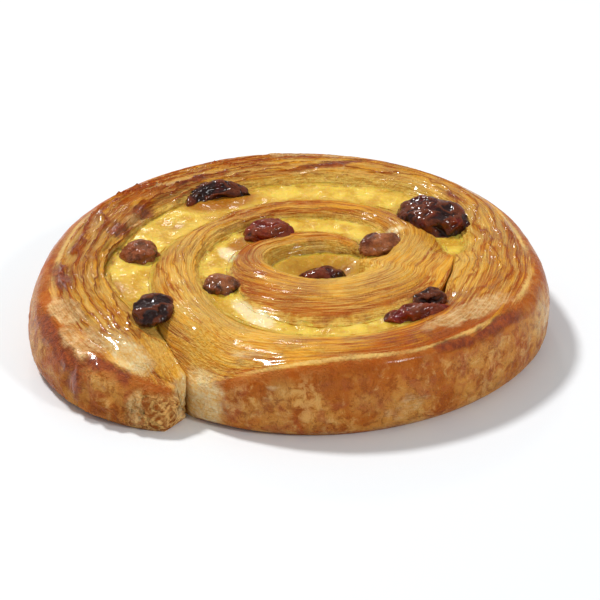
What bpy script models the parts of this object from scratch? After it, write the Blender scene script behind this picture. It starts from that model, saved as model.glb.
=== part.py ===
"""Danish pastry: a raisin and custard swirl, one laminated dough strip rolled up round its filling.

Lengths below are in millimetres and angles in degrees. The origin is the middle of the footprint on
the table, +X to the right of the swirl as it is looked at, +Y away from the tail and +Z up. The roll is
laid out in polar form round its eye: an angle that keeps growing along the roll, so one turn further out
is 360 more, and a distance from the eye.
"""
import math

import bmesh
import bpy
import numpy as np
from mathutils import Matrix, Vector

MM = 0.001
TURN = 360.0
GAP = 0.3

# Driving dimensions: the footprint is 113 by 104 mm, and the swirl stands 22 mm high with its raisins.
EYE = (7.1, -3.6)
EYE_HALF_LENGTH = 10.2
EYE_HALF_WIDTH = 6.2
EYE_YAW = 5.0
FILLING_FLOOR = 0.4
SEAM_FOOT = 1.6
STRIP_LEAST = 0.8
WALL_BELLY = 0.42

# The seam that the custard fills: (angle, distance from the eye, width of custard that shows).
SEAM = (
    (-40, 5.0, 1.4), (0, 9.8, 2.0), (15, 12.0, 3.0), (30, 14.6, 4.2), (55, 16.6, 6.0), (90, 18.0, 6.4),
    (130, 19.4, 5.6), (160, 21.6, 5.2), (208, 25.2, 5.0), (240, 29.0, 4.2), (270, 30.8, 3.6), (300, 30.4, 4.0),
    (326, 29.2, 2.4), (348, 28.6, 1.2), (368, 29.5, 2.2), (385, 31.3, 4.8), (398, 32.8, 7.2), (412, 33.5, 8.2),
    (450, 33.4, 7.2), (485, 34.8, 7.6), (510, 37.2, 10.6), (528, 39.2, 8.4), (545, 41.7, 8.4), (573, 42.8, 2.6),
    (584, 44.6, 1.4), (594, 48.0, 0.6), (606, 52.6, 0.6),
)
# The outside of the last turn: (angle, distance from the eye, radius of the shoulder, height of its top,
# how far in its foot is).
RIM = (
    (228, 47.2, 1.6, 9.6, 3.4), (236, 48.4, 1.8, 10.0, 3.2), (243, 48.8, 2.2, 11.4, 2.8),
    (250, 48.8, 2.6, 13.6, 2.6), (257, 48.6, 3.0, 15.5, 2.6), (264, 48.4, 3.4, 16.8, 2.6),
    (300, 47.4, 3.0, 17.4, 2.6), (325, 48.2, 3.8, 17.4, 2.6), (350, 49.8, 5.0, 17.2, 2.6),
    (375, 49.8, 5.0, 17.2, 2.6), (395, 51.2, 4.6, 17.6, 2.6), (415, 52.8, 4.4, 18.2, 2.6),
    (455, 55.6, 3.8, 18.8, 2.6), (485, 57.8, 4.0, 18.8, 2.6), (510, 60.2, 5.0, 18.4, 2.6),
    (535, 62.7, 6.0, 17.2, 2.6), (563, 64.9, 6.5, 14.6, 2.6), (580, 62.4, 6.8, 12.4, 2.2),
    (590, 58.2, 5.8, 10.2, 1.4), (597, 54.2, 3.2, 8.6, 1.0),
)
# Along the dough strip: (angle, height of the crest). Along the custard: (angle, height of its surface).
CREST = ((-350, 15.0), (-325, 16.8), (-290, 18.0), (-230, 18.2), (-180, 18.8), (-60, 18.8), (50, 18.6),
         (130, 18.8), (180, 19.2), (225, 18.6), (270, 18.4), (360, 18.4), (450, 19.6), (540, 18.8),
         (562, 17.4), (575, 15.2), (586, 12.3), (597, 9.8))
LEVEL = ((-40, 13.0), (0, 13.8), (35, 15.8), (95, 16.2), (208, 16.2), (240, 15.8), (312, 15.8), (345, 15.2),
         (372, 15.6), (402, 16.4), (450, 16.8), (510, 16.6), (545, 16.0), (572, 14.9), (588, 11.6), (606, 8.4))
# How far out the crest of the strip lies: (angle, power of the share across).
SKEW = ((-350, 0.85), (-60, 0.85), (60, 0.8), (130, 0.8), (240, 1.15), (597, 1.15))

STRIP_START, STRIP_END = -350.0, 595.0
SEAM_START, SEAM_END = -10.0, 584.0
OUTSIDE_FROM = 228.0
TOP_POINTS = 12
LAYER_RELIEF = 0.28

# Raisins: name, centre (x, y, z), half sizes, yaw and tilt, and how far the long axis is bent.
RAISINS = (
    ("raisin_1", (31.9, 15.9, 17.2), (8.6, 6.6, 4.4), -28, 0, 0.0),
    ("raisin_2", (-4.7, 9.1, 17.0), (5.7, 4.0, 3.1), 18, 0, 0.0),
    ("raisin_3", (20.0, 3.9, 17.0), (5.3, 3.0, 2.6), 20, 0, 0.0),
    ("raisin_4", (-14.7, -15.3, 16.6), (4.2, 3.6, 2.7), -12, 0, 0.0),
    ("raisin_5", (29.7, -21.7, 17.0), (3.7, 2.5, 2.4), 15, 0, 0.0),
    ("raisin_6", (26.9, -27.7, 16.4), (7.4, 2.5, 2.4), 20, 0, 0.0),
    ("raisin_7", (-16.7, 28.7, 17.0), (7.8, 3.0, 3.0), 16, 0, 3.4),
    ("raisin_8", (-32.7, -0.5, 16.6), (4.1, 4.0, 3.2), 10, 0, 0.0),
    ("raisin_9", (-28.4, -26.5, 17.0), (4.6, 4.9, 2.8), -20, 0, 0.0),
    ("raisin_10", (7.2, -5.5, 13.4), (5.4, 3.4, 2.6), 0, 0, 0.0),
)


def through(knots, x, column=1):
    """Smooth curve through the knots of one of the tables above, at x."""
    table = np.array(knots, float)
    at, value = table[:, 0], table[:, column]
    slope = np.gradient(value, at)
    x = min(max(x, at[0]), at[-1])
    i = int(min(max(np.searchsorted(at, x) - 1, 0), len(at) - 2))
    span = at[i + 1] - at[i]
    t = (x - at[i]) / span
    return float(
        (2 * t**3 - 3 * t**2 + 1) * value[i] + (t**3 - 2 * t**2 + t) * span * slope[i]
        + (3 * t**2 - 2 * t**3) * value[i + 1] + (t**3 - t**2) * span * slope[i + 1]
    )


def ease(low, high, x):
    t = min(max((x - low) / (high - low), 0.0), 1.0)
    return t * t * (3 - 2 * t)


def mix(a, b, share):
    return a + (b - a) * share


def eye_wall(angle):
    """Distance from the eye's middle to its oval wall."""
    t = math.radians(angle - EYE_YAW)
    a, b = EYE_HALF_LENGTH, EYE_HALF_WIDTH
    return a * b / math.hypot(b * math.cos(t), a * math.sin(t))


def seam_at(angle):
    """The seam at an angle: middle, width at the custard's surface, width at the lips, height of the
    custard, how nearly the dough closes over it, from 0 to 1, and the crest of the strip outside it."""
    width = max(through(SEAM, angle, 2), 0.5)
    closed = 1 - ease(1.4, 3.0, width)
    return {
        "middle": through(SEAM, angle),
        "width": width,
        "lips": mix(width + 1.4, 0.5, closed),
        "level": through(LEVEL, angle) - 2.2 * closed,
        "closed": closed,
        "crest": through(CREST, angle),
    }


def wall_of_seam(seam, side, crest):
    """One wall of the seam, foot to lip, as (distance, height) points. Side is -1 or +1."""
    middle, half, level = seam["middle"], seam["width"] / 2, seam["level"]
    foot, lip = min(SEAM_FOOT, seam["width"]) / 2, seam["lips"] / 2
    lip_height = mix(level + 0.5, min(crest, seam["crest"]) - 0.5, seam["closed"])
    return [
        (middle + side * foot, 0.0),
        (middle + side * (mix(foot, half, 0.5) + 0.15), 0.25 * level),
        (middle + side * (mix(foot, half, 0.8) + 0.2), 0.55 * level),
        (middle + side * half, level),
        (middle + side * mix(half, lip, 0.4), mix(level, lip_height, 0.55)),
        (middle + side * lip, lip_height),
    ]


def wall_of_eye(angle, crest):
    """The wall of the eye, foot to lip. The hollow opens out towards the top."""
    wall, lip = eye_wall(angle), crest - 3.2
    return [(wall - 2.4, 0.0), (wall - 2.0, 0.27 * lip), (wall - 1.4, 0.57 * lip), (wall - 0.5, 0.84 * lip),
            (wall + 0.1, 0.95 * lip), (wall + 0.9, lip)]


def wall_outside(angle):
    """The crust of the last turn, foot to shoulder: a barrel under a rounded shoulder."""
    reach, shoulder, top, undercut = (through(RIM, angle, column) for column in (1, 2, 3, 4))
    belly = WALL_BELLY * top
    points = [(reach - undercut, 0.0), (reach - 0.27 * undercut, 0.3 * belly), (reach, belly)]
    for turn in (28, 56):
        points.append((
            reach - shoulder * (1 - math.cos(math.radians(turn))),
            belly + (top - belly) * math.sin(math.radians(turn)) ** 0.9,
        ))
    points.append((reach - shoulder, top))
    return points


def between(first, second, share):
    """A wall part of the way from one to another that has as many points."""
    return [(mix(a, c, share), mix(b, d, share)) for (a, b), (c, d) in zip(first, second)]


def strip_section(angle):
    """The dough strip cut across: (distance, height) points, up the inner wall, over and down."""
    crest, out = through(CREST, angle), ease(OUTSIDE_FROM, OUTSIDE_FROM + 16, angle)
    inner = wall_of_seam(seam_at(angle), 1, crest)
    inner = between(wall_of_eye(angle, crest), inner, ease(-27, -13, angle))
    outer = wall_of_seam(seam_at(angle + TURN), -1, crest)
    outer = between(outer, wall_outside(angle), out)
    inner = [(min(near, far - STRIP_LEAST), mix(z, z_far, ease(2.8, 1.2, far - near)))
             for (near, z), (far, z_far) in zip(inner, outer)]
    lip_in, lip_out = inner[-1], outer[-1]
    fall = max(crest - lip_out[1] - 0.9, 0) * out
    top = []
    for i in range(1, TOP_POINTS + 1):
        t = i / (TOP_POINTS + 1)
        edge = mix(lip_in[1], lip_out[1], t)
        swell = 1 - abs(2 * t ** through(SKEW, angle) - 1) ** 2.2
        relief = LAYER_RELIEF * (-1) ** i * min(1.0, (lip_out[0] - lip_in[0]) / 8)
        top.append((mix(lip_in[0], lip_out[0], t), mix(edge, crest - fall * t * t, swell) + relief))
    return [*inner, *top, *reversed(outer)]


def filling_section(angle):
    """The custard cut across: it narrows to its foot and has a domed surface."""
    seam = seam_at(angle)
    middle, half, level = seam["middle"], seam["width"] / 2 - GAP, seam["level"]
    foot = min(SEAM_FOOT, seam["width"]) / 2 - GAP
    belly = mix(foot, half, 0.7) + 0.1
    rise = 0.35 * (1 - seam["closed"]) + 0.05
    left = [(middle - foot, FILLING_FLOOR), (middle - belly, 0.5 * level), (middle - half, level - 0.1),
            (middle - 0.45 * half, level + rise)]
    right = [(2 * middle - x, z) for x, z in reversed(left)]
    joined = 1 - ease(4, 6, angle)
    left = [(mix(x, eye_wall(angle) - 4.5, joined), z) for x, z in left]
    return [*left, *right]


def placed(angle, distance, height):
    """A point of the roll in metres."""
    t = math.radians(angle)
    return Vector((EYE[0] + distance * math.cos(t), EYE[1] + distance * math.sin(t), height)) * MM


def angles_along(start, end, lead, sagitta):
    """Angles from start to end, closer where the roll is tighter: flats between them stray from the
    curve by this sagitta. The lead picks the turn that counts."""
    angles = [start]
    while angles[-1] < end:
        radius = max(through(SEAM, angles[-1] + lead), 8.0)
        angles.append(angles[-1] + math.degrees(math.sqrt(8 * sagitta / radius)))
    scale = (end - start) / (angles[-1] - start)
    return [start + (a - start) * scale for a in angles]


def loft(name, angles, section):
    """A closed solid through the sections at these angles. The ends are closed from wall to
    wall and, over the top, round a hub."""
    mesh = bmesh.new()
    loops = [[mesh.verts.new(placed(a, *p)) for p in section(a)] for a in angles]
    for near, far in zip(loops, loops[1:]):
        for i in range(len(near)):
            j = (i + 1) % len(near)
            mesh.faces.new((near[i], near[j], far[j], far[i]))
    for loop in (loops[0], loops[-1]):
        rungs = min(4, len(loop) // 2 - 1)
        for i in range(rungs):
            mesh.faces.new((loop[i], loop[i + 1], loop[-2 - i], loop[-1 - i]))
        rest = loop[rungs:len(loop) - rungs]
        if len(rest) > 2:
            hub = mesh.verts.new(sum((rest[i].co for i in (0, 1, -2, -1)), Vector()) / 4)
            for i in range(len(rest)):
                mesh.faces.new((rest[i - 1], rest[i], hub))
    bmesh.ops.triangulate(mesh, faces=list(mesh.faces))
    bmesh.ops.recalc_face_normals(mesh, faces=mesh.faces)
    return as_object(name, mesh)


def as_object(name, mesh):
    data = bpy.data.meshes.new(name)
    mesh.to_mesh(data)
    mesh.free()
    piece = bpy.data.objects.new(name, data)
    bpy.context.scene.collection.objects.link(piece)
    return piece


def eye_filling():
    """The custard that lines the eye: a plug with a hollow top."""
    mesh = bmesh.new()
    rings = []
    for inset, height in ((3.6, FILLING_FLOOR), (2.6, 6.5), (1.7, 11.0), (1.5, 13.6), (3.0, 13.4), (4.6, 12.9)):
        rings.append([mesh.verts.new(placed(a, eye_wall(a) - inset, height)) for a in range(0, 360, 15)])
    for lower, upper in zip(rings, rings[1:]):
        for i in range(len(lower)):
            j = (i + 1) % len(lower)
            mesh.faces.new((lower[i], lower[j], upper[j], upper[i]))
    mesh.faces.new(reversed(rings[0]))
    mesh.faces.new(rings[-1])
    bmesh.ops.triangulate(mesh, faces=list(mesh.faces))
    bmesh.ops.recalc_face_normals(mesh, faces=mesh.faces)
    return as_object("eye_filling", mesh)


def raisin_mesh(seed, half, bend, grown=0.0):
    """A wrinkled raisin: an oval ball, creased along its length, bent if it is an arched one."""
    mesh = bmesh.new()
    bmesh.ops.create_icosphere(mesh, subdivisions=3, radius=1.0)
    for v in mesh.verts:
        n = v.co.normalized()
        crease = math.sin(5.0 * math.atan2(n.z, n.y) + 1.7 * seed + 2.2 * n.x)
        lumps = math.sin(6.3 * n.x + seed) * math.cos(5.1 * n.y - 2 * seed) * math.sin(4.7 * n.z + 0.6 * seed)
        swell = 1 + 0.07 * crease * (1 - n.x**2) + 0.09 * lumps
        x, y, z = (n[k] * (half[k] * swell + grown) for k in range(3))
        y -= bend * ((x / half[0]) ** 2 - 0.35)
        v.co = Vector((x, y, z)) * MM
    bmesh.ops.recalc_face_normals(mesh, faces=mesh.faces)
    return mesh


def raisin(name, centre, half, yaw, tilt, bend, grown=0.0):
    seed = int(name.split("_")[1])
    piece = as_object(name if grown == 0 else "pocket_of_" + name, raisin_mesh(seed, half, bend, grown))
    turn = Matrix.Rotation(math.radians(yaw), 4, "Z") @ Matrix.Rotation(math.radians(tilt), 4, "Y")
    piece.matrix_world = Matrix.Translation(Vector(centre) * MM) @ turn
    return piece


def boolean(piece, other, operation):
    """Cuts or joins with a helper, which stays in the file unrendered."""
    modifier = piece.modifiers.new(other.name, "BOOLEAN")
    modifier.object = other
    modifier.operation = operation
    modifier.solver = "EXACT"
    other.hide_render = True
    other.display_type = "WIRE"


def finish(piece, name, colour, roughness):
    material = bpy.data.materials.new(name)
    material.use_nodes = True
    shader = material.node_tree.nodes["Principled BSDF"]
    shader.inputs["Base Color"].default_value = (*colour, 1.0)
    shader.inputs["Roughness"].default_value = roughness
    shader.inputs["Metallic"].default_value = 0.0
    piece.data.materials.append(material)
    piece.data.shade_smooth()
    piece.data.set_sharp_from_angle(angle=math.radians(40))


def main():
    for old in list(bpy.data.objects):
        bpy.data.objects.remove(old)
    dough = loft("dough", angles_along(STRIP_START, STRIP_END, 0.5 * TURN, 0.068), strip_section)
    finish(dough, "baked_dough", (0.62, 0.32, 0.09), 0.4)
    custard = loft("custard", angles_along(SEAM_START, SEAM_END, 0.0, 0.1), filling_section)
    finish(custard, "custard", (0.80, 0.62, 0.12), 0.25)
    boolean(custard, eye_filling(), "UNION")
    for name, centre, half, yaw, tilt, bend in RAISINS:
        fruit = raisin(name, centre, half, yaw, tilt, bend)
        finish(fruit, name, (0.10, 0.03, 0.02), 0.3)
        pocket = raisin(name, centre, half, yaw, tilt, bend, grown=GAP)
        boolean(dough, pocket, "DIFFERENCE")
        boolean(custard, pocket, "DIFFERENCE")


main()
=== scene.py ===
import math

import bmesh
import bpy
import numpy as np
from mathutils import Matrix, Vector


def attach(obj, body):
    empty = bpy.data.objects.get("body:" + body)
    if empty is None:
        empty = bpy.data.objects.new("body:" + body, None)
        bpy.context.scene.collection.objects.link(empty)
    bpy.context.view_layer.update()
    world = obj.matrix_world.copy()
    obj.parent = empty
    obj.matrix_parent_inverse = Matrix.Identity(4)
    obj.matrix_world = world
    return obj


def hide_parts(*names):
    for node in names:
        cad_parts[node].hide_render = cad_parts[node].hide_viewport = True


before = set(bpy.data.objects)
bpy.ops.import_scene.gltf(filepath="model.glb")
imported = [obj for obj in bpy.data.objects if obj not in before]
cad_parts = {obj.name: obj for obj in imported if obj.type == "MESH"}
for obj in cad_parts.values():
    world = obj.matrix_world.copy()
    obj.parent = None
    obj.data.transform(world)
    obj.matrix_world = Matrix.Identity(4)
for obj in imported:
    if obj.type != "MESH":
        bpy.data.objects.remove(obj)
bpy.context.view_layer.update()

# The dough.
# One strip of laminated dough, sheeted and folded with butter, spread with custard and rolled up. The roll
# was cut across into a flat swirl, so the layers stand on edge in the top, and it was baked and glazed.
# It is laid out in polar form round the eye, with an angle that grows by 360 for each turn outwards.
MM = 0.001
TURN = 360.0
EYE = (7.1, -3.6)
EYE_HALF_LENGTH, EYE_HALF_WIDTH, EYE_YAW = 10.2, 6.2, 5.0

# The seam that the custard fills: (angle, distance from the eye, width of custard that shows).
SEAM = (
    (-40, 5.0, 1.4), (0, 9.8, 2.0), (15, 12.0, 3.0), (30, 14.6, 4.2), (55, 16.6, 6.0), (90, 18.0, 6.4),
    (130, 19.4, 5.6), (160, 21.6, 5.2), (208, 25.2, 5.0), (240, 29.0, 4.2), (270, 30.8, 3.6),
    (300, 30.4, 4.0), (326, 29.2, 2.4), (348, 28.6, 1.2), (368, 29.5, 2.2), (385, 31.3, 4.8),
    (398, 32.8, 7.2), (412, 33.5, 8.2), (450, 33.4, 7.2), (485, 34.8, 7.6), (510, 37.2, 10.6),
    (528, 39.2, 8.4), (545, 41.7, 8.4), (573, 42.8, 2.6), (584, 44.6, 1.4), (594, 48.0, 0.6),
    (606, 52.6, 0.6),
)
# The outside of the last turn: (angle, distance from the eye, radius of the shoulder, height of its top,
# how far in its foot is).
RIM = (
    (228, 47.2, 1.6, 9.6, 3.4), (236, 48.4, 1.8, 10.0, 3.2), (243, 48.8, 2.2, 11.4, 2.8),
    (250, 48.8, 2.6, 13.6, 2.6), (257, 48.6, 3.0, 15.5, 2.6), (264, 48.4, 3.4, 16.8, 2.6),
    (300, 47.4, 3.0, 17.4, 2.6), (325, 48.2, 3.8, 17.4, 2.6), (350, 49.8, 5.0, 17.2, 2.6),
    (375, 49.8, 5.0, 17.2, 2.6), (395, 51.2, 4.6, 17.6, 2.6), (415, 52.8, 4.4, 18.2, 2.6),
    (455, 55.6, 3.8, 18.8, 2.6), (485, 57.8, 4.0, 18.8, 2.6), (510, 60.2, 5.0, 18.4, 2.6),
    (535, 62.7, 6.0, 17.2, 2.6), (563, 64.9, 6.5, 14.6, 2.6), (580, 62.4, 6.8, 12.4, 2.2),
    (590, 58.2, 5.8, 10.2, 1.4), (597, 54.2, 3.2, 8.6, 1.0),
)
# Along the strip: (angle, height of its crest). Along the custard: (angle, height of its surface).
CREST = ((-350, 15.0), (-325, 16.8), (-290, 18.0), (-230, 18.2), (-180, 18.8), (-60, 18.8), (50, 18.6),
         (130, 18.8), (180, 19.2), (225, 18.6), (270, 18.4), (360, 18.4), (450, 19.6), (540, 18.8),
         (562, 17.4), (575, 15.2), (586, 12.3), (597, 9.8))
LEVEL = ((-40, 13.0), (0, 13.8), (35, 15.8), (95, 16.2), (208, 16.2), (240, 15.8), (312, 15.8),
         (345, 15.2), (372, 15.6), (402, 16.4), (450, 16.8), (510, 16.6), (545, 16.0), (572, 14.9),
         (588, 11.6), (606, 8.4))
# How far out the crest of the strip lies, and how far custard spreads over it from each side: (angle, ...).
SKEW = ((-350, 0.85), (-60, 0.85), (60, 0.8), (130, 0.8), (240, 1.15), (597, 1.15))
SPREAD = ((-350, 3.4), (-60, 3.4), (-20, 2.2), (200, 2.4), (270, 2.6), (330, 2.6), (395, 4.5), (440, 6.5),
          (480, 4.5), (520, 2.0), (597, 0.8))
SPREAD_OUT = ((-350, 2.0), (-200, 1.2), (-140, 2.4), (-95, 4.6), (-55, 4.0), (-20, 1.6),
              (10, 1.6), (597, 1.6))
# How strongly the layers stand out, and how brown they have baked: (angle, share).
BOLDNESS = ((-350, 0.0), (-325, 0.0), (-290, 0.45), (-90, 0.45), (90, 0.6), (200, 0.7), (240, 0.35),
            (300, 0.4), (345, 0.75), (400, 0.8), (450, 0.9), (480, 1.2), (560, 1.2), (583, 0.7), (597, 0.5))
TOAST = ((-350, 0.45), (-270, 0.62), (-180, 0.58), (-90, 0.42), (0, 0.34), (90, 0.68), (135, 0.55),
         (180, 0.36), (240, 0.3), (275, 0.45), (305, 0.9), (335, 0.6), (365, 0.5), (420, 0.45),
         (470, 0.6), (500, 0.75), (545, 0.62), (575, 0.45), (597, 0.4))
# Patches: what they are, middle, half length, half width, half height, yaw and strength.
PATCHES = (
    ("caramel", (-50.6, -28.0, 12.9), 7.5, 1.5, 4.0, 112, 1.0),
    ("caramel", (-46.4, -36.4, 11.6), 4.8, 1.6, 3.0, 125, 1.0),
    ("caramel", (-44.9, -40.4, 8.3), 2.2, 3.0, 4.8, 120, 0.9),
    ("caramel", (-38.8, -40.6, 12.0), 3.6, 1.4, 2.6, -27, 1.0),
    ("caramel", (-34.2, -43.8, 11.2), 2.8, 1.3, 2.6, -50, 0.9),
    ("caramel", (-49.2, -11.0, 16.7), 6.5, 1.7, 2.6, 107, 1.0),
    ("caramel", (-32.9, 17.4, 18.4), 2.8, 1.9, 3.0, 30, 1.0),
    ("caramel", (-38.2, 8.0, 18.2), 3.8, 1.9, 3.0, 72, 1.0),
    ("caramel", (11.6, 41.0, 19.6), 9.0, 1.1, 3.0, 14, 0.9),
    ("caramel", (-22.0, 32.0, 19.4), 9.0, 1.0, 3.0, 30, 0.6),
    ("caramel", (36.4, 26.0, 18.0), 6.0, 1.0, 3.0, -50, 0.6),
    # A faint caramel patch over the front wall of the inner ridge: partly caramelised glaze, partly painted
    # shade on that wall.
    ("caramel", (11.7, -30.0, 17.0), 14.0, 1.6, 3.0, 6, 0.28),
    ("caramel", (-1.5, -51.4, 9.6), 3.2, 2.0, 1.1, 0, 0.35),
    ("caramel", (34.5, -39.9, 16.8), 5.0, 1.0, 2.2, 30, 1.0),
    ("caramel", (44.0, -31.0, 16.6), 9.0, 1.1, 2.2, 50, 1.0),
    ("caramel", (31.5, -22.5, 17.0), 5.0, 3.6, 3.0, 20, 0.6),
    ("caramel", (26.0, -40.5, 17.0), 9.0, 2.0, 3.0, 20, 0.4),
    ("pale", (-47.6, -23.2, 15.1), 5.2, 2.6, 3.2, 124, 1.0),
    ("pale", (-45.2, -33.8, 12.9), 5.8, 1.9, 2.8, 118, 0.9),
    ("pale", (-40.8, -33.9, 13.9), 5.0, 1.5, 2.6, 118, 0.8),
    ("pale", (-35.0, 13.4, 18.8), 3.4, 1.6, 3.0, 60, 0.9),
    ("pale", (37.6, -29.0, 18.2), 11.0, 2.8, 2.8, 40, 0.9),
    ("pale", (52.5, -20.0, 9.0), 8.0, 2.0, 5.0, 72, 0.25),
    ("cream", (55.5, -14.0, 9.0), 12.0, 3.0, 7.0, 80, 0.34),
    ("pale", (25.0, -48.6, 5.0), 7.0, 3.0, 4.0, 16, 0.35),
    ("pale", (-3.0, -50.8, 12.2), 2.6, 2.0, 0.9, 0, 0.35),
    ("pale", (-28.5, 29.3, 19.5), 4.0, 1.0, 3.0, 40, 0.7),
    ("pale", (8.0, 46.0, 19.5), 16.0, 1.2, 3.0, -4, 0.5),
    ("pale", (-2.0, 46.5, 19.5), 14.0, 1.2, 3.0, 6, 0.5),
    ("pale", (-31.8, -48.2, 6.0), 2.0, 2.0, 4.5, -30, 0.6),
    ("cream", (-33.0, -38.6, 13.6), 7.4, 3.0, 3.2, 130, 1.0),
    ("cream", (-18.6, -45.4, 6.4), 5.4, 3.6, 6.5, 148, 1.0),
    ("cream", (7.0, 2.6, 15.6), 8.0, 2.4, 3.0, 5, 0.3),
    ("cream", (-11.0, -42.4, 15.4), 7.0, 1.2, 2.0, -18, 0.35),
    ("cream", (-7.5, -27.2, 16.6), 6.4, 2.1, 3.2, 126, 1.0),
    ("cream", (-13.6, -0.8, 17.0), 3.6, 1.6, 3.0, 115, 1.0),
    ("cream", (21.9, 8.6, 17.6), 4.0, 1.3, 3.0, 15, 1.0),
    ("custard", (14.6, 0.6, 15.6), 5.4, 3.4, 3.2, -20, 1.0),
    ("custard", (-11.4, -48.0, 10.8), 1.7, 2.0, 2.4, 0, 0.6),
    ("skin", (-15.5, 25.4, 17.5), 8.4, 4.4, 3.0, 20, 1.0),
    ("skin", (-38.0, -16.0, 16.0), 4.0, 6.0, 3.0, 20, 0.6),
    ("skin", (-27.0, 13.0, 16.0), 8.0, 5.0, 3.0, 40, 0.3),
    ("skin", (-10.6, 4.4, 17.0), 3.2, 3.0, 3.0, 40, 0.8),
    ("skin", (33.5, -14.0, 16.0), 6.0, 2.0, 3.0, 80, 0.8),
)
# Where the strip starts and ends, how many sections it has, and the length over which its end closes.
STRIP_START, STRIP_END = -350.0, 595.0
RINGS = 985
NOSE = 1.6
# Points of a section in each wall and over its top, and where its lips and its outer foot are among them.
WALL, TOP = 6, 12
INNER_LIP, OUTER_LIP, OUTER_FOOT = WALL - 1, WALL + TOP, 2 * WALL + TOP - 1
# Steps of the finished mesh up the inner wall, over the top and down the outer wall.
INNER_STEPS, TOP_STEPS, OUTER_STEPS = 12, 49, 31
# Angles between which the strip leaves the eye, turns into the outside, fuses over its seam and is torn.
LEAVES_EYE, TURNS_OUTSIDE, FUSES, TEARS = (-27, -13), (228, 244), (566, 586), (585, 589)


def curve_between(t, span, start, start_slope, end, end_slope):
    """A smooth curve from one value to the next, at each share t of the span between them."""
    return (
        (2 * t**3 - 3 * t**2 + 1) * start + (t**3 - 2 * t**2 + t) * span * start_slope
        + (3 * t**2 - 2 * t**3) * end + (t**3 - t**2) * span * end_slope
    )


def through(knots, x, column=1):
    """Smooth curve through the knots of a table, at each x."""
    table = np.array(knots, float)
    at, value = table[:, 0], table[:, column]
    slope = np.gradient(value, at)
    x = np.clip(x, at[0], at[-1])
    i = np.clip(np.searchsorted(at, x) - 1, 0, len(at) - 2)
    span = at[i + 1] - at[i]
    return curve_between((x - at[i]) / span, span, value[i], slope[i], value[i + 1], slope[i + 1])


def ease(low, high, x):
    """From 0 at low to 1 at high, eased. High may be the smaller."""
    t = np.clip((x - low) / (high - low), 0.0, 1.0)
    return t * t * (3 - 2 * t)


def mix(a, b, share):
    return a + (b - a) * share


def eye_wall(angle):
    """Distance from the middle of the eye to its oval wall."""
    t = np.radians(angle - EYE_YAW)
    oval = np.hypot(EYE_HALF_WIDTH * np.cos(t), EYE_HALF_LENGTH * np.sin(t))
    return EYE_HALF_LENGTH * EYE_HALF_WIDTH / oval


def seam_at(angle):
    """The seam: its middle, width, lips, the custard's level and how nearly the dough closes over it."""
    width = np.maximum(through(SEAM, angle, 2), 0.5)
    closed = 1 - ease(1.4, 3.0, width)
    near_tail = ease(548, 560, angle) * ease(586, 570, angle)
    level = through(LEVEL, angle) - mix(2.2, 1.0, near_tail) * closed
    return through(SEAM, angle), width, mix(width + 1.4, 0.5, closed), level, closed


def wall(*points):
    """Points of a wall, foot to lip, as one array: angle by point by (distance, height)."""
    shape = np.broadcast(*(np.asarray(value, float) for point in points for value in point)).shape
    return np.stack([np.stack([np.broadcast_to(v, shape) for v in point], -1) for point in points], -2)


def wall_of_seam(angle, side, crest):
    """The wall of dough on one side of the seam: 1 for the side away from the eye, -1 for the near one."""
    middle, width, lips, level, closed = seam_at(angle)
    foot, half, lip = np.minimum(1.6, width) / 2, width / 2, lips / 2
    fused = ease(*FUSES, angle)
    lip = mix(lip, 0.06, fused)
    lip_height = mix(level + 0.5, np.minimum(crest, through(CREST, angle)) - mix(0.35, 0.1, fused), closed)
    return wall(
        (middle + side * foot, 0.0),
        (middle + side * (mix(foot, half, 0.5) + 0.15), 0.25 * level),
        (middle + side * (mix(foot, half, 0.8) + 0.2), 0.55 * level),
        (middle + side * half, level),
        (middle + side * mix(half, lip, 0.4), mix(level, lip_height, 0.55)),
        (middle + side * lip, lip_height),
    )


def wall_of_eye(angle, crest):
    """The wall round the eye, which narrows towards its floor."""
    reach, lip = eye_wall(angle), crest - 3.2
    return wall((reach - 2.4, 0.0), (reach - 2.0, 0.27 * lip), (reach - 1.4, 0.57 * lip),
                (reach - 0.5, 0.84 * lip), (reach + 0.1, 0.95 * lip), (reach + 0.9, lip))


def wall_outside(angle):
    """The crust of the last turn: a barrel under a rounded shoulder."""
    reach, shoulder, top, undercut = (through(RIM, angle, column) for column in (1, 2, 3, 4))
    belly = 0.42 * top
    bends = [(reach - shoulder * (1 - math.cos(math.radians(turn))),
              belly + (top - belly) * math.sin(math.radians(turn)) ** 0.9) for turn in (28, 56)]
    return wall((reach - undercut, 0.0), (reach - 0.27 * undercut, 0.3 * belly), (reach, belly), *bends,
                (reach - shoulder, top))


def strip_sections(angle):
    """The strip cut across at each angle: 6 points up the inner wall, 12 over the top and 6 down."""
    crest = through(CREST, angle)
    past_eye, out = ease(*LEAVES_EYE, angle), ease(*TURNS_OUTSIDE, angle)
    inner = mix(wall_of_eye(angle, crest), wall_of_seam(angle, 1, crest), past_eye[:, None, None])
    outer = mix(wall_of_seam(angle + TURN, -1, crest), wall_outside(angle), out[:, None, None])
    inner[..., 1] = mix(inner[..., 1], outer[..., 1], ease(2.8, 1.2, outer[..., 0] - inner[..., 0]))
    inner[..., 0] = np.minimum(inner[..., 0], outer[..., 0] - 0.8)
    share = (np.arange(1, TOP + 1) / (TOP + 1))[None, :]
    edge = mix(inner[:, -1:, 1], outer[:, -1:, 1], share)
    swell = 1 - np.abs(2 * share ** through(SKEW, angle)[:, None] - 1) ** 2.2
    peak = crest[:, None] - np.maximum(crest[:, None] - outer[:, -1:, 1] - 0.9, 0) * out[:, None] * share**2
    top = np.stack([mix(inner[:, -1:, 0], outer[:, -1:, 0], share), mix(edge, peak, swell)], -1)
    return np.concatenate([inner, top, outer[:, ::-1]], 1)


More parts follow.
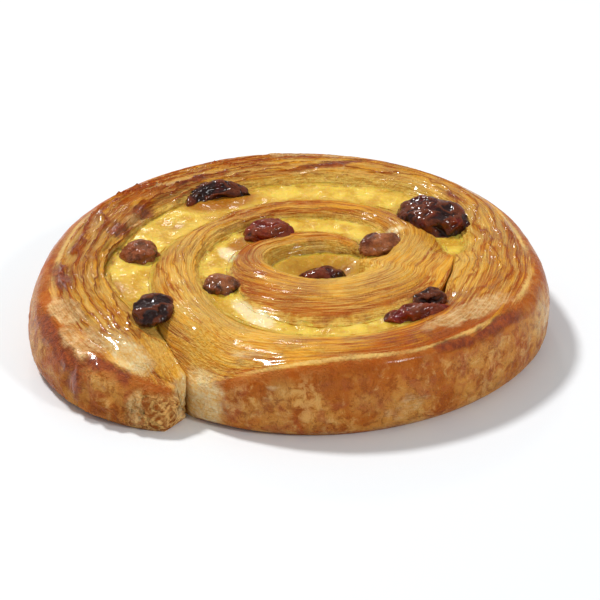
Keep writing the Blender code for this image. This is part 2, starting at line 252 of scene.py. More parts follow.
def smooth_through(points, at):
    """Points of each section at these positions along it, on a smooth curve through its points."""
    slope = np.gradient(points, axis=1)
    i = np.clip(at.astype(int), 0, points.shape[1] - 2)
    t = (at - i)[None, :, None]
    return curve_between(t, 1, points[:, i], slope[:, i], points[:, i + 1], slope[:, i + 1])


def even_angles(start, end, count, lead):
    """Angles at even steps along the roll, measured on the turn that the lead picks."""
    fine = np.linspace(start, end, 4000)
    length = np.concatenate([[0], np.cumsum(np.maximum(through(SEAM, fine[:-1] + lead), 9.0))])
    length *= math.radians(fine[1] - fine[0])
    steps = np.linspace(0, length[-1], count)
    return np.interp(steps, length, fine), steps


def placed(sections, angle):
    """The points of the sections, (distance from the eye, height), as spots in millimetres."""
    turn = np.radians(angle)[:, None]
    return np.stack([EYE[0] + sections[..., 0] * np.cos(turn), EYE[1] + sections[..., 0] * np.sin(turn),
                     sections[..., 1]], -1)


def patches(spots, wanted):
    """How far inside the nearest patch of a kind each spot lies: its strength in the middle, and 0 at one
    and a half times its half sizes."""
    inside = np.zeros(spots.shape[:-1])
    for kind, middle, length, width, height, yaw, strength in PATCHES:
        if kind == wanted:
            x, y, z = np.moveaxis(spots - middle, -1, 0)
            c, s = math.cos(math.radians(yaw)), math.sin(math.radians(yaw))
            lengthwise, sideways = (x * c + y * s) / length, (y * c - x * s) / width
            reach = np.sqrt(lengthwise**2 + sideways**2 + (z / height) ** 2)
            inside = np.maximum(inside, strength * (1 - reach / 1.5))
    return inside


def in_scene(name, data):
    """A new object in the scene, made of a mesh, a lamp or a lens."""
    thing = bpy.data.objects.new(name, data)
    bpy.context.scene.collection.objects.link(thing)
    return thing


def mark(data, name, values):
    """Stores one number or three for each point of a mesh, for its node group and material to read."""
    values = np.reshape(values, (len(data.vertices), -1))
    kind, key = ("FLOAT_VECTOR", "vector") if values.shape[1] == 3 else ("FLOAT", "value")
    data.attributes.new(name, kind, "POINT").data.foreach_set(key, values.ravel())


def faces_between(ring):
    """The quads between each ring of points and the next."""
    near, far = ring[:-1], ring[1:]
    return np.stack([near, np.roll(near, -1, 1), np.roll(far, -1, 1), far], -1).reshape(-1, 4)


def tube(name, spots, marks):
    """A closed tube through rings of spots, with a point at each end and its marks as attributes."""
    count, around = spots.shape[:2]
    hubs = [(spots[k, 0] + spots[k, -1]) / 2 + (0, 0, 0.4 * spots[k, :, 2].max()) for k in (0, -1)]
    ring = np.arange(count * around).reshape(count, around)
    first, last = count * around, count * around + 1
    faces = faces_between(ring)[:, ::-1].tolist()
    faces += [(first, ring[0, i - 1], ring[0, i]) for i in range(around)]
    faces += [(last, ring[-1, i], ring[-1, i - 1]) for i in range(around)]
    data = bpy.data.meshes.new(name)
    data.from_pydata(np.concatenate([spots.reshape(-1, 3), hubs]) * MM, [], faces)
    for key, values in marks.items():
        values = values.reshape(count * around, -1)
        mark(data, key, np.concatenate([values, values[[0, -1]]]))
    data.shade_smooth()
    return in_scene(name, data)


class Wire:
    """An output socket that is written into sums like a number. Each sum adds its Math node."""

    def __init__(self, tree, socket):
        self.tree, self.socket = tree, socket

    def sum(self, operation, *values):
        return add(self.tree, "ShaderNodeMath", {"operation": operation}, dict(enumerate(values)))

    def __add__(self, other):
        return self.sum("ADD", self, other)

    def __sub__(self, other):
        return self.sum("SUBTRACT", self, other)

    def __rsub__(self, other):
        return self.sum("SUBTRACT", other, self)

    def __mul__(self, other):
        return self.sum("MULTIPLY", self, other)

    def __truediv__(self, other):
        return self.sum("DIVIDE", self, other)

    def __pow__(self, other):
        return self.sum("POWER", self, other)

    __radd__, __rmul__ = __add__, __mul__

    def floor(self):
        return self.sum("FLOOR", self)

    def size(self):
        return self.sum("ABSOLUTE", self)

    def clip(self, low, high):
        """From 0 at low to 1 at high, eased. High may be the smaller."""
        return add(self.tree, "ShaderNodeMapRange", {"interpolation_type": "SMOOTHSTEP"},
                   {"Value": self, "From Min": low, "From Max": high})


def add(tree, kind, settings=None, inputs=None, output=0):
    """Adds a node, with its settings first and then the values or links of its sockets."""
    node = tree.nodes.new(kind)
    for key, value in (settings or {}).items():
        setattr(node, key, value)
    for key, value in (inputs or {}).items():
        if isinstance(value, Wire):
            tree.links.new(value.socket, node.inputs[key])
        else:
            node.inputs[key].default_value = value
    return Wire(tree, node.outputs[output])


def stretched(tree, vector, factors):
    return add(tree, "ShaderNodeVectorMath", {"operation": "MULTIPLY"}, {0: vector, 1: factors})


def noise(tree, vector, scale=1.0, detail=2.0, roughness=0.5, distortion=0.0):
    return add(tree, "ShaderNodeTexNoise", {}, {"Vector": vector, "Scale": scale, "Detail": detail,
                                               "Roughness": roughness, "Distortion": distortion})


def part_of(tree, vector, axis):
    return add(tree, "ShaderNodeSeparateXYZ", {}, {0: vector}, axis)


def leaves(tree, strip, pitch, seed):
    """Where a spot lies in the dough's layers: how near a layer's back, and how high the layer stands."""
    wander = noise(tree, stretched(tree, strip, (0.028, 0.10, 0.0)), detail=1.0) * 5.0
    wander = wander + noise(tree, stretched(tree, strip, (0.16, 0.25, 0.0)), detail=2.0) * 1.6
    place = part_of(tree, strip, "Y") / pitch + wander + seed
    layer = place.floor()
    back = 1 - ((place - layer) * 2 - 1).size() ** 2.2
    stretch = {0: part_of(tree, strip, "X") * 0.045, 1: layer * 3.71, 2: seed}
    lift = noise(tree, add(tree, "ShaderNodeCombineXYZ", {}, stretch), detail=2.0).clip(0.3, 0.7)
    return back, lift


def spot_on(tree):
    """Where a spot of the piece is, in millimetres, in a node group or in a material."""
    if tree.bl_idname == "GeometryNodeTree":
        place = add(tree, "GeometryNodeInputPosition")
    else:
        place = add(tree, "ShaderNodeTexCoord", {}, {}, "Object")
    return stretched(tree, place, (1 / MM, 1 / MM, 1 / MM))


def webbing(tree, spot):
    """The ridges that dough is left with where it is pulled apart: 1 on a ridge, 0 between."""
    web = noise(tree, spot, 0.3, 2.0, 0.5, 1.2) * 2 - 1
    return (1 - web.size() * 5.0).clip(0.0, 1.0)


angle, along = even_angles(STRIP_START, STRIP_END, RINGS, 0.5 * TURN)
at = np.concatenate([np.linspace(0, INNER_LIP, INNER_STEPS + 1)[:-1] ** 0.9 * INNER_LIP**0.1,
                     np.linspace(INNER_LIP, OUTER_LIP, TOP_STEPS + 1),
                     np.linspace(OUTER_LIP, OUTER_FOOT, OUTER_STEPS + 1)[1:]])
sections = smooth_through(strip_sections(angle), at)
tail = np.clip(along[-1] - along, 0, NOSE) / NOSE
pinch = np.sqrt(1 - (1 - tail) ** 2)[:, None]
sections[..., 0] = mix(sections[:, [0, -1], 0].mean(1, keepdims=True), sections[..., 0], pinch)
sections[..., 1] = mix(0.45 * sections[..., 1].max(1, keepdims=True), sections[..., 1], pinch)
spots = placed(sections, angle)

# Along the strip and across it from the inner lip, in millimetres, and where it is crust or open top.
steps = np.hypot(*np.moveaxis(np.diff(sections, axis=1), -1, 0))
across = np.concatenate([np.zeros((RINGS, 1)), np.cumsum(steps, 1)], 1)
across -= across[:, [INNER_STEPS]]
far_lip = across[:, [INNER_STEPS + TOP_STEPS]]
strip = np.stack([np.broadcast_to(along[:, None], across.shape), across, spots[..., 2]], -1)
out = ease(232, 246, angle)[:, None]
crust = out * ease(17.4, 21.4, at)[None, :]
open_top = ease(3.0, 5.2, at) * (1 - ease(16.6, 18.8, at))
toast = through(TOAST, angle)[:, None] + 0.4 * (np.clip(across / far_lip, 0, 1) - 0.45)
# Custard spreads over both lips, the strip's first end and the wall of the eye, but not over the tail.
closing = [seam_at(angle + lead)[4][:, None] for lead in (0, TURN)]
shore = np.maximum(
    ease(through(SPREAD, angle)[:, None], 0.2, across) * (1 - closing[0]),
    (1 - out) * ease(through(SPREAD_OUT, angle)[:, None], 0.2, far_lip - across) * (1 - closing[1]))
shore = np.maximum(shore, ease(-318, -332, angle)[:, None])
shore = np.maximum(shore, (1 - ease(-24, -12, angle))[:, None] * ease(30.0, 16.0, np.arange(len(at))))
shore = np.maximum(shore * (1 - ease(570, 584, angle))[:, None], 1.4 * patches(spots, "custard"))
pleated = ease(566, 576, angle) * (1 - ease(586, 590, angle))
dough = tube("dough_swirl", spots, {
    "strip": strip, "crust": crust, "open": open_top[None, :] * through(BOLDNESS, angle)[:, None],
    "shore": shore, "toast": toast, "pleated": crust * pleated[:, None],
    "torn": np.maximum(crust * ease(*TEARS, angle)[:, None], 1 - tail[:, None]),
    "caramel": patches(spots, "caramel"), "pale": patches(spots, "pale"), "cream": patches(spots, "cream")})

# How far apart the layers and the folds of layers lie, where their patterns start, and how high they stand.
LAYER_PITCH, LAYER_SEED, LAYER_RELIEF = 0.95, 0.0, 0.3
FOLD_PITCH, FOLD_SEED, FOLD_RELIEF = 2.6, 7.0, 0.6
BLISTER_RELIEF = 0.5


def new_relief(name, sizes, finish):
    """A node group that shapes a piece. Its inputs are sizes by name and the name of its material."""
    group = bpy.data.node_groups.new(name, "GeometryNodeTree")
    group.interface.new_socket("Geometry", in_out="INPUT", socket_type="NodeSocketGeometry")
    for key, value in sizes.items():
        group.interface.new_socket(key, in_out="INPUT", socket_type="NodeSocketFloat").default_value = value
    group.interface.new_socket(finish, in_out="INPUT", socket_type="NodeSocketMaterial")
    group.interface.new_socket("Geometry", in_out="OUTPUT", socket_type="NodeSocketGeometry")
    entry = group.nodes.new("NodeGroupInput")
    return group, {socket.name: Wire(group, socket) for socket in entry.outputs if socket.name}


def stored(group, name, kind="FLOAT"):
    return add(group, "GeometryNodeInputNamedAttribute", {"data_type": kind}, {"Name": name})


def outwards(group, height):
    """An offset of this many millimetres straight out of the surface."""
    return add(group, "ShaderNodeVectorMath", {"operation": "SCALE"},
               {0: add(group, "GeometryNodeInputNormal"), "Scale": height * MM})


def end_relief(group, piece, offset, finish):
    """Moves the piece's points by the offset, gives it its material and hands it over."""
    shaped = add(group, "GeometryNodeSetPosition", {}, {"Geometry": piece, "Offset": offset})
    shaped = add(group, "GeometryNodeRealizeInstances", {}, {0: shaped})
    shaped = add(group, "GeometryNodeSetMaterial", {}, {"Geometry": shaped, "Material": finish})
    leave = group.nodes.new("NodeGroupOutput")
    group.links.new(shaped.socket, leave.inputs[0])


relief, given = new_relief("laminated dough", {
    "Layer pitch": LAYER_PITCH, "Layer relief": LAYER_RELIEF, "Fold pitch": FOLD_PITCH,
    "Fold relief": FOLD_RELIEF, "Blister relief": BLISTER_RELIEF}, "Glaze")
strip, bold = stored(relief, "strip", "FLOAT_VECTOR"), stored(relief, "open")
back, lift = leaves(relief, strip, given["Layer pitch"], LAYER_SEED)
fold, heave = leaves(relief, strip, given["Fold pitch"], FOLD_SEED)
frayed = noise(relief, stretched(relief, strip, (0.9, 2.2, 0.0)), detail=2.0) - 0.5
raised = (back * 0.5 + lift * 1.1 - 0.9 + frayed * 0.5) * bold * given["Layer relief"]
raised = raised + (fold * 0.8 + heave * 0.7 - 1.05) * bold * bold * given["Fold relief"]
# Down the side: blisters, the tail's pleats and its torn end, all of which fade out just above the table.
spot = spot_on(relief)
height = part_of(relief, strip, "Z")
off_floor = height.clip(0.3, 3.0)
blisters = (noise(relief, spot, 0.16, 2.0) - 0.5) * 1.6 + (noise(relief, spot, 0.6, 3.0) - 0.5) * 0.8
raised = raised + blisters * stored(relief, "crust") * given["Blister relief"] * off_floor
pleat = part_of(relief, strip, "X") / 5.2 + height / 9.0 + noise(relief, spot, 0.12, 1.0) * 2.6
pleat = 1 - ((pleat - pleat.floor()) * 2 - 1).size() ** 2.4
raised = raised + (pleat - 0.6) * stored(relief, "pleated") * off_floor * 1.2
raised = raised + (webbing(relief, spot) - 0.4) * stored(relief, "torn") * off_floor
end_relief(relief, given["Geometry"], outwards(relief, raised), given["Glaze"])


def linear(r, g, b):
    """A colour as a screen shows it, 0 to 255, made linear."""
    parts = [c / 255 for c in (r, g, b)]
    return (*(c / 12.92 if c <= 0.04045 else ((c + 0.055) / 1.055) ** 2.4 for c in parts), 1.0)


def blend(tree, share, first, second):
    """The first colour at 0 and the second at 1."""
    return add(tree, "ShaderNodeMix", {"data_type": "RGBA"}, {0: share, 6: first, 7: second}, 2)


def material(name, roughness, **constants):
    """A new Principled material, with its tree and its shader to plug into."""
    made = bpy.data.materials.new(name)
    made.use_nodes = True
    shader = made.node_tree.nodes["Principled BSDF"]
    shader.inputs["Roughness"].default_value = roughness
    for key, value in constants.items():
        shader.inputs[key.replace("_", " ").title().replace("Ior", "IOR")].default_value = value
    return made, made.node_tree, shader


def plug(tree, wire, shader, key):
    tree.links.new(wire.socket, shader.inputs[key])


def attribute(tree, name, output="Fac"):
    return add(tree, "ShaderNodeAttribute", {"attribute_name": name}, {}, output)


baked, tree, shader = material("baked_dough", 0.45, subsurface_weight=0.1, subsurface_scale=0.001,
                               coat_roughness=0.1, coat_ior=1.4, specular_ior_level=0.1)
strip, spot = attribute(tree, "strip", "Vector"), spot_on(tree)
back, lift = leaves(tree, strip, LAYER_PITCH, LAYER_SEED)
fold, heave = leaves(tree, strip, FOLD_PITCH, FOLD_SEED)
crust, open_top, shore, toast = (attribute(tree, name) for name in ("crust", "open", "shore", "toast"))
caramel, pale, cream, torn = (attribute(tree, name) for name in ("caramel", "pale", "cream", "torn"))
broad = noise(tree, spot, 0.09, 2.0)
streak = noise(tree, stretched(tree, strip, (0.09, 1.3, 0.0)), 1.0, 5.0, 0.65, 0.4)
thread = noise(tree, stretched(tree, strip, (0.16, 3.4, 3.0)), 1.0, 3.0, 0.6, 0.3)
fleck = noise(tree, spot, 0.9, 4.0, 0.6)
wander = (fleck - 0.5) * 0.9 + (streak - 0.5) * 0.9

# Layers on edge: gold to brown, with pale threads of butter-rich dough and dark threads where edges char.
GOLD, BAKED_BROWN, BUTTER, CHAR = (238, 166, 42), (184, 88, 4), (252, 208, 104), (148, 60, 2)
# Colours for the folds of layers: a painted highlight on their raised crests and painted shade in their
# hollows.
FOLD_PAINTED_HIGHLIGHT, FOLD_PAINTED_SHADE = (250, 204, 112), (152, 58, 4)
browned = toast + (lift - 0.5) * 0.6 + (streak - 0.5) * 2.2 + (broad - 0.5) * 1.2
colour = blend(tree, browned.clip(0.05, 0.85), linear(*GOLD), linear(*BAKED_BROWN))
threads = (thread * 1.4 + streak * 0.8 - toast * 0.5 - 0.72).clip(0.0, 0.45)
colour = blend(tree, threads * 0.8, colour, linear(*BUTTER))
groove = (1 - back).clip(0.55, 1.0) * (0.25 + lift * 0.5) + thread.clip(0.42, 0.28) * 0.5
colour = blend(tree, groove * (0.4 + toast * 0.6), colour, linear(*CHAR))
bold = open_top.clip(0.35, 1.0)
# Painted highlight on the raised crests of the folds, then painted shade in the hollows between them.
colour = blend(tree, fold.clip(0.6, 1.0) * heave * bold * 0.75, colour, linear(*FOLD_PAINTED_HIGHLIGHT))
colour = blend(tree, fold.clip(0.45, 0.05) * bold * 0.85, colour, linear(*FOLD_PAINTED_SHADE))

# Custard that ran over the lips, and the crust down the side: tan, orange-brown where it browned, with
# light flakes and dark cracks. A pale line and then a brown band run along its upper edge.
RUN_SHADE, RUN_LIGHT = (212, 150, 44), (242, 202, 96)
SIDE_BROWN, SIDE_TAN, SIDE_RED = (190, 102, 30), (218, 148, 66), (184, 92, 48)
FLAKE, CRACK, PALE_EDGE, BROWN_EDGE = (248, 196, 118), (148, 66, 16), (252, 206, 118), (186, 88, 0)
ran_over = (shore + wander * 0.6).clip(0.25, 0.85)
custardy = blend(tree, (fleck + thread - 0.5).clip(0.3, 0.7), linear(*RUN_SHADE), linear(*RUN_LIGHT))
colour = blend(tree, ran_over * 0.85, colour, custardy)
mottle = noise(tree, spot, 0.13, 3.0, 0.55, 0.6)
crackle = noise(tree, spot, 0.42, 5.0, 0.7, 0.4)
side = blend(tree, (mottle * 0.8 + crackle * 0.2).clip(0.4, 0.6), linear(*SIDE_BROWN), linear(*SIDE_TAN))
side = blend(tree, noise(tree, spot, 0.21, 2.0, 0.5, 0.8).clip(0.52, 0.66) * 0.6, side, linear(*SIDE_RED))
side = blend(tree, (crackle + broad * 0.6 - 0.3).clip(0.5, 0.66) * 0.5, side, linear(*FLAKE))
side = blend(tree, crackle.clip(0.47, 0.4) * crackle.clip(0.3, 0.37) * 0.5, side, linear(*CRACK))
edge = crust + wander * 0.12
trim = edge.clip(0.02, 0.08) * edge.clip(0.2, 0.1) * noise(tree, spot, 0.05, 1.0).clip(0.38, 0.56)
colour = blend(tree, trim * 0.85, colour, linear(*PALE_EDGE))
colour = blend(tree, edge.clip(0.13, 0.24), colour, side)
colour = blend(tree, edge.clip(0.15, 0.24) * edge.clip(0.7, 0.35) * 0.7, colour, linear(*BROWN_EDGE))

# The torn end, and patches: dry dough that the glaze missed, cream-coloured dough that baked least, and
# caramelised glaze.
CRUMB_SHADE, CRUMB, DRY_SHADE, DRY = (158, 82, 20), (246, 192, 112), (206, 140, 66), (246, 206, 146)
CREAM_SHADE, CREAM, BURNT, CARAMEL = (244, 186, 94), (255, 234, 178), (124, 38, 4), (190, 84, 14)
crumbly = webbing(tree, spot) * 0.8 + fleck.clip(0.4, 0.65) * 0.4
crumbly = blend(tree, crumbly, linear(*CRUMB_SHADE), linear(*CRUMB))
colour = blend(tree, torn.clip(0.2, 0.8), colour, crumbly)
drift = (noise(tree, spot, 0.35, 3.0) - 0.5) * 1.1 + (streak - 0.5) * 0.5
bare = (pale + drift * 0.6).clip(0.14, 0.4)
flour = (fleck * 0.8 + thread * 0.5 + streak * 0.3).clip(0.6, 1.0)
colour = blend(tree, bare * 0.9, colour, blend(tree, flour, linear(*DRY_SHADE), linear(*DRY)))
milky = (cream + drift * 0.5).clip(0.1, 0.5)
colour = blend(tree, milky * 0.85, colour, blend(tree, flour, linear(*CREAM_SHADE), linear(*CREAM)))
burnt = (caramel + drift * 0.9).clip(0.05, 0.6)
glassy = blend(tree, fleck.clip(0.3, 0.75), linear(*BURNT), linear(*CARAMEL))
colour = blend(tree, burnt * 0.85, colour, glassy)
plug(tree, colour, shader, "Base Color")
wet = noise(tree, spot, 0.14, 2.0).clip(0.38, 0.62) * 0.55 + 0.1
glaze = (wet * (1 - crust * 0.7) + burnt * 0.9 + milky * 0.5) * (1 - bare * 0.8)
plug(tree, glaze, shader, "Coat Weight")
fine = (thread * open_top * 1.6 + noise(tree, spot, 2.0, 3.0) * (wet * 2.4 + 0.4)
        + crackle * crust * 3.2 + fleck * burnt * 2.5)
bump = add(tree, "ShaderNodeBump", {}, {"Strength": 0.9, "Distance": 0.0006, "Height": fine})
plug(tree, bump, shader, "Normal")


def shaped_by(piece, group, **inputs):
    """Turns the piece into a plain mesh, as its node group shapes it with these inputs."""
    modifier = piece.modifiers.new(group.name, "NODES")
    modifier.node_group = group
    ids = {item.name: item.identifier for item in group.interface.items_tree if item.in_out == "INPUT"}
    for key, value in inputs.items():
        modifier[ids[key.replace("_", " ").capitalize()]] = value
    graph = bpy.context.evaluated_depsgraph_get()
    seen = piece.evaluated_get(graph)
    data = bpy.data.meshes.new_from_object(seen, preserve_all_data_layers=True, depsgraph=graph)
    piece.modifiers.clear()
    piece.data = data


shaped_by(dough, relief, layer_pitch=LAYER_PITCH, layer_relief=LAYER_RELIEF, fold_pitch=FOLD_PITCH,
          fold_relief=FOLD_RELIEF, blister_relief=BLISTER_RELIEF, glaze=baked)
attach(dough, "root")
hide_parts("dough")

# The custard.
# Thick yellow vanilla custard, piped on the sheet of dough before it is rolled. It bakes to a glossy skin,
# a little domed between the turns, and runs down the seam and over the floor of the eye.
SEAM_START, SEAM_END = -10.0, 588.0
SEAM_RINGS, SURFACE_POINTS = 560, 25
# How far out from the seam's middle, and how high, the four points under each ring of its surface are.
FOOT_REACH, FOOT_HEIGHT = np.array((0.7, 0.4, -0.4, -0.7)), np.array((9.0, 0.4, 0.4, 9.0))
# The floor of the eye, from its foot in the wall to its middle: (how far in from the wall, height). No
# point of it comes nearer to the middle than EYE_POINT.
EYE_FLOOR = ((4.6, 0.4), (3.6, 9.0), (1.6, 12.0), (0.6, 14.0), (0.0, 14.9), (-0.6, 15.5), (0.3, 15.3),
             (1.4, 14.7), (2.6, 13.9), (3.8, 13.3), (4.9, 13.0), (5.8, 12.9))
EYE_POINT = 0.4
LUMP_HEIGHT = 0.7
YOLK, YELLOW, YELLOW_GRAIN, AMBER = (206, 154, 46), (238, 202, 82), (248, 224, 120), (196, 122, 14)
BROWN_SKIN, MILK = (164, 92, 16), (248, 226, 176)

custard_yellow, tree, shader = material("baked_custard", 0.3, subsurface_weight=0.7, subsurface_scale=0.002,
                                        subsurface_radius=(1.0, 0.5, 0.15), coat_weight=0.25,
                                        coat_roughness=0.1, specular_ior_level=0.1)
spot = spot_on(tree)
cloud, grain = noise(tree, spot, 0.22, 3.0), noise(tree, spot, 1.4, 3.0)
rim, skinned, cream = (attribute(tree, name) for name in ("edge", "skin", "cream"))
colour = blend(tree, cloud.clip(0.35, 0.65), linear(*YOLK), linear(*YELLOW))
colour = blend(tree, grain.clip(0.56, 0.74) * 0.6, colour, linear(*YELLOW_GRAIN))
# Amber in cloudy patches and towards the custard's edges where it meets the dough: partly the custard's own
# browning, partly painted warm shade along those edges.
amber_edge_and_shade = (cloud * 1.6 + rim * 0.9 + grain * 0.3 - 1.1).clip(0.15, 0.7)
colour = blend(tree, amber_edge_and_shade * 0.6, colour, linear(*AMBER))
colour = blend(tree, (skinned + (cloud - 0.5) * 0.8).clip(0.1, 0.5) * 0.85, colour, linear(*BROWN_SKIN))
milky = (cream + (cloud - 0.5) * 0.8).clip(0.1, 0.5)
colour = blend(tree, milky * 0.8, colour, linear(*MILK))
plug(tree, colour, shader, "Base Color")
bump = add(tree, "ShaderNodeBump", {}, {"Strength": 0.5, "Distance": 0.0007, "Height": grain * 0.6 + cloud})
plug(tree, bump, shader, "Normal")

angle = even_angles(SEAM_START, SEAM_END, SEAM_RINGS, 0.0)[0]
middle, _, lips, level, closed = (value[:, None] for value in seam_at(angle))
share = np.linspace(-1, 1, SURFACE_POINTS)
half = lips / 2 + 0.3 + 0.5 * (1 - closed)
dome = level + (1 - closed) * (0.5 * (1 - share**2) ** 0.8 + 0.8 * np.abs(share) ** 4)
surface = np.stack([middle + share * half, dome], -1)
foot = np.stack(np.broadcast_arrays(middle + FOOT_REACH, FOOT_HEIGHT), -1)
spots = placed(np.concatenate([surface, foot], 1), angle)
opened = np.r_[0.4 + 0.6 * np.sin(np.linspace(0, np.pi, SURFACE_POINTS)), np.zeros(len(FOOT_REACH))]
# How near each point lies to the custard's edge, where the material paints amber: partly browning, partly
# painted warm shade.
edge = np.r_[np.abs(share) ** 3, np.ones(len(FOOT_REACH))]
custard = tube("custard_seam", spots, {
    "open": np.broadcast_to(opened, spots.shape[:2]), "edge": np.broadcast_to(edge, spots.shape[:2]),
    "skin": patches(spots, "skin"), "cream": patches(spots, "cream")})

angle = np.arange(0, 360, 4.0)
inset, height = np.array(EYE_FLOOR).T
reach = np.maximum(eye_wall(angle)[:, None] - inset, EYE_POINT)
spots = placed(np.stack(np.broadcast_arrays(reach, height), -1), angle).swapaxes(0, 1)
ring = np.arange(len(EYE_FLOOR) * len(angle)).reshape(len(EYE_FLOOR), len(angle))
lining = bpy.data.meshes.new("custard_eye")
faces = [*faces_between(ring).tolist(), ring[0, ::-1].tolist(), ring[-1].tolist()]
lining.from_pydata(spots.reshape(-1, 3) * MM, [], faces)
lining.shade_smooth()
eye = in_scene("custard_eye", lining)
# Towards the middle of its floor, the custard in the eye is marked browner and more amber: painted shade at
# the bottom of the hollow.
for key, wall_side, centre in (("open", 1.0, 1.0), ("edge", 0.0, 0.5), ("skin", 0.1, 0.4)):
    mark(lining, key, np.repeat(np.linspace(wall_side, centre, len(EYE_FLOOR)), len(angle)))

lumps, given = new_relief("set custard", {"Lump height": LUMP_HEIGHT}, "Skin")
spot = spot_on(lumps)
raised = (noise(lumps, spot, 0.25, 2.0) - 0.5) * 2.0 + (noise(lumps, spot, 0.9, 2.0) - 0.5) * 0.5
raised = raised * stored(lumps, "open") * given["Lump height"]
upwards = add(lumps, "ShaderNodeCombineXYZ", {}, {2: raised * MM})
end_relief(lumps, given["Geometry"], upwards, given["Skin"])
for piece in (custard, eye):
    shaped_by(piece, lumps, lump_height=LUMP_HEIGHT, skin=custard_yellow)
    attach(piece, "root")
    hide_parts("custard")

# The raisins.
# Plumped dried grapes, rolled up with the custard. Baking dries the ones at the top again: the skin folds
# into creases, turns nearly black and picks up the glaze.
CREASE_DEPTH = 0.6
# Name, centre, half sizes, yaw, how far the long axis is bent, how dark it has baked and how brown it is.
RAISINS = (
    ("raisin_1", (31.9, 15.9, 17.2), (8.6, 6.6, 4.4), -28, 0.0, 0.75, 0.1),
    ("raisin_2", (-4.7, 9.1, 17.0), (5.7, 4.0, 3.1), 18, 0.0, 0.25, 0.0),
    ("raisin_3", (20.0, 3.9, 17.0), (5.3, 3.0, 2.6), 20, 0.0, 0.5, 0.85),
    ("raisin_4", (-14.7, -15.3, 16.6), (4.2, 3.6, 2.7), -12, 0.0, 0.5, 0.65),
    ("raisin_5", (29.7, -21.7, 17.0), (3.7, 2.5, 2.4), 15, 0.0, 0.8, 0.1),
    ("raisin_6", (26.9, -27.7, 16.4), (7.4, 2.5, 2.4), 20, 0.0, 0.25, 0.0),
    ("raisin_7", (-16.7, 28.7, 17.0), (7.8, 3.0, 3.0), 16, 3.4, 0.8, 0.0),
    ("raisin_8", (-32.7, -0.5, 16.6), (4.1, 4.0, 3.2), 10, 0.0, 0.4, 0.5),
    ("raisin_9", (-28.4, -26.5, 17.0), (4.6, 4.9, 2.8), -20, 0.0, 1.0, 0.2),
    ("raisin_10", (7.2, -5.5, 13.4), (5.4, 3.4, 2.6), 0, 0.0, 0.7, 0.0),
)
RED_BROWN, LIGHT_BROWN, NEARLY_BLACK, CREASE_RIDGE_TAN = (124, 22, 0), (204, 138, 88), (46, 15, 8), (176, 84, 34)

skin, tree, shader = material("raisin_skin", 0.38, subsurface_weight=0.1, subsurface_scale=0.0008,
                              coat_weight=0.65, coat_roughness=0.07, specular_ior_level=0.06)
spot = spot_on(tree)
dark, brown, fold = (attribute(tree, name) for name in ("dark", "brown", "fold"))
patch = noise(tree, spot, 0.25, 3.0)
colour = blend(tree, brown + (patch - 0.5) * 0.8, linear(*RED_BROWN), linear(*LIGHT_BROWN))
colour = blend(tree, (patch + dark * 0.6 - 0.3).clip(0.35, 0.65), colour, linear(*NEARLY_BLACK))
# Lighter brown on the raised ridges of the creases.
colour = blend(tree, fold.clip(0.5, 1.0) * 0.35, colour, linear(*CREASE_RIDGE_TAN))
plug(tree, colour, shader, "Base Color")
fine = noise(tree, spot, 0.9, 4.0, 0.6, 0.6)
bump = add(tree, "ShaderNodeBump", {}, {"Strength": 1.0, "Distance": 0.0016, "Height": fine})
plug(tree, bump, shader, "Normal")

wrinkles, given = new_relief("dried skin", {"Crease depth": CREASE_DEPTH, "Seed": 0.0}, "Skin")
spot = spot_on(wrinkles)
drift = noise(wrinkles, spot, 0.35, 2.0) * 4.0 + given["Seed"]
drift = add(wrinkles, "ShaderNodeCombineXYZ", {}, {0: drift})
bent = add(wrinkles, "ShaderNodeVectorMath", {"operation": "ADD"}, {0: spot, 1: drift})
fold = (1 - (noise(wrinkles, bent, 0.2, 2.0, 0.55, 0.6) * 2 - 1).size() * 2.6).clip(0.0, 1.0)
marked = add(wrinkles, "GeometryNodeStoreNamedAttribute", {"data_type": "FLOAT", "domain": "POINT"},
             {"Geometry": given["Geometry"], "Name": "fold", "Value": fold})
end_relief(wrinkles, marked, outwards(wrinkles, (fold - 0.6) * given["Crease depth"]), given["Skin"])

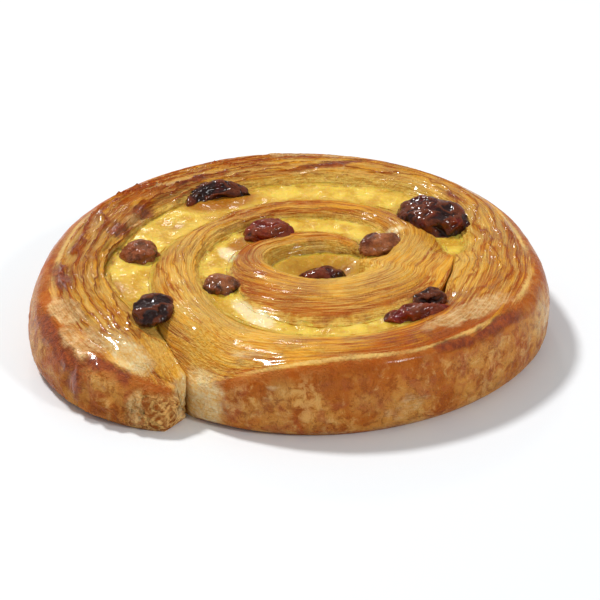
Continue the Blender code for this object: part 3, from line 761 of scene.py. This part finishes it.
for number, (name, centre, half, yaw, bend, *shades) in enumerate(RAISINS, 1):
    ball = bmesh.new()
    bmesh.ops.create_icosphere(ball, subdivisions=6, radius=1.0)
    for v in ball.verts:
        n = v.co.normalized()
        crease = math.sin(5.0 * math.atan2(n.z, n.y) + 1.7 * number + 2.2 * n.x)
        bulge = math.sin(6.3 * n.x + number) * math.cos(5.1 * n.y - 2 * number)
        bulge *= math.sin(4.7 * n.z + 0.6 * number)
        swell = 1 + 0.07 * crease * (1 - n.x**2) + 0.09 * bulge
        x, y, z = (n[k] * half[k] * swell for k in range(3))
        v.co = Vector((x, y - bend * ((x / half[0]) ** 2 - 0.35), z)) * MM
    ball.transform(Matrix.Translation(Vector(centre) * MM) @ Matrix.Rotation(math.radians(yaw), 4, "Z"))
    data = bpy.data.meshes.new(name + "_skin")
    ball.to_mesh(data)
    ball.free()
    data.shade_smooth()
    for key, shade in zip(("dark", "brown"), shades):
        mark(data, key, np.full(len(data.vertices), shade))
    raisin = in_scene(name + "_skin", data)
    shaped_by(raisin, wrinkles, crease_depth=CREASE_DEPTH, seed=7.3 * number, skin=skin)
    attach(raisin, "root")
    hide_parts(name)

# Table, daylight and camera.
# The pastry lies on a pale sheet, lit softly from the upper left and a little behind, so its shadow falls
# to the right and towards the viewer.
sheet = bpy.data.meshes.new("table")
sheet.from_pydata([(-2, -2, 0), (2, -2, 0), (2, 2, 0), (-2, 2, 0)], [], [(0, 1, 2, 3)])
table = in_scene("table", sheet)
paper, tree, shader = material("pale_table", 0.6)
shader.inputs["Base Color"].default_value = (0.88, 0.9, 0.915, 1.0)
sheet.materials.append(paper)


def facing(place, aim):
    """The turn that points a lamp or the camera at its aim."""
    return (Vector(aim) - Vector(place)).to_track_quat("-Z", "Y").to_euler()


# Name, place, diameter and power of each lamp.
LAMPS = (("key", (-0.56, 0.42, 1.15), 0.2, 12.9), ("back", (-0.15, 1.15, 0.8), 0.14, 0.9),
         ("fill", (1.0, -0.9, 0.95), 0.28, 7.5))
for name, place, size, power in LAMPS:
    light = bpy.data.lights.new(name, "AREA")
    light.shape, light.size, light.energy = "DISK", size, power
    lamp = in_scene(name, light)
    lamp.location, lamp.rotation_euler = place, facing(place, (0, 0, 0))
world = bpy.data.worlds.new("studio")
world.use_nodes = True
world.node_tree.nodes["Background"].inputs["Color"].default_value = (0.95, 0.98, 1, 1)
world.node_tree.nodes["Background"].inputs["Strength"].default_value = 0.4
bpy.context.scene.world = world
bpy.context.scene.view_settings.view_transform = "Standard"

# The camera's height above the table as an angle, its distance and the point that it was aimed at. The
# picture's middle lies a little below that point.
ELEVATION = math.radians(28)
DISTANCE = 0.600
AIMED_AT = Vector((0.0023, 0.0026, 0.009))
LOWERED = 0.00441
aim = AIMED_AT - LOWERED * Vector((0, math.sin(ELEVATION), math.cos(ELEVATION)))
lens = bpy.data.cameras.new("camera")
lens.lens, lens.sensor_width = 162.5, 36.0
camera = in_scene("camera", lens)
camera.location = aim + DISTANCE * Vector((0, -math.cos(ELEVATION), math.sin(ELEVATION)))
camera.rotation_euler = facing(camera.location, aim)
bpy.context.scene.camera = camera
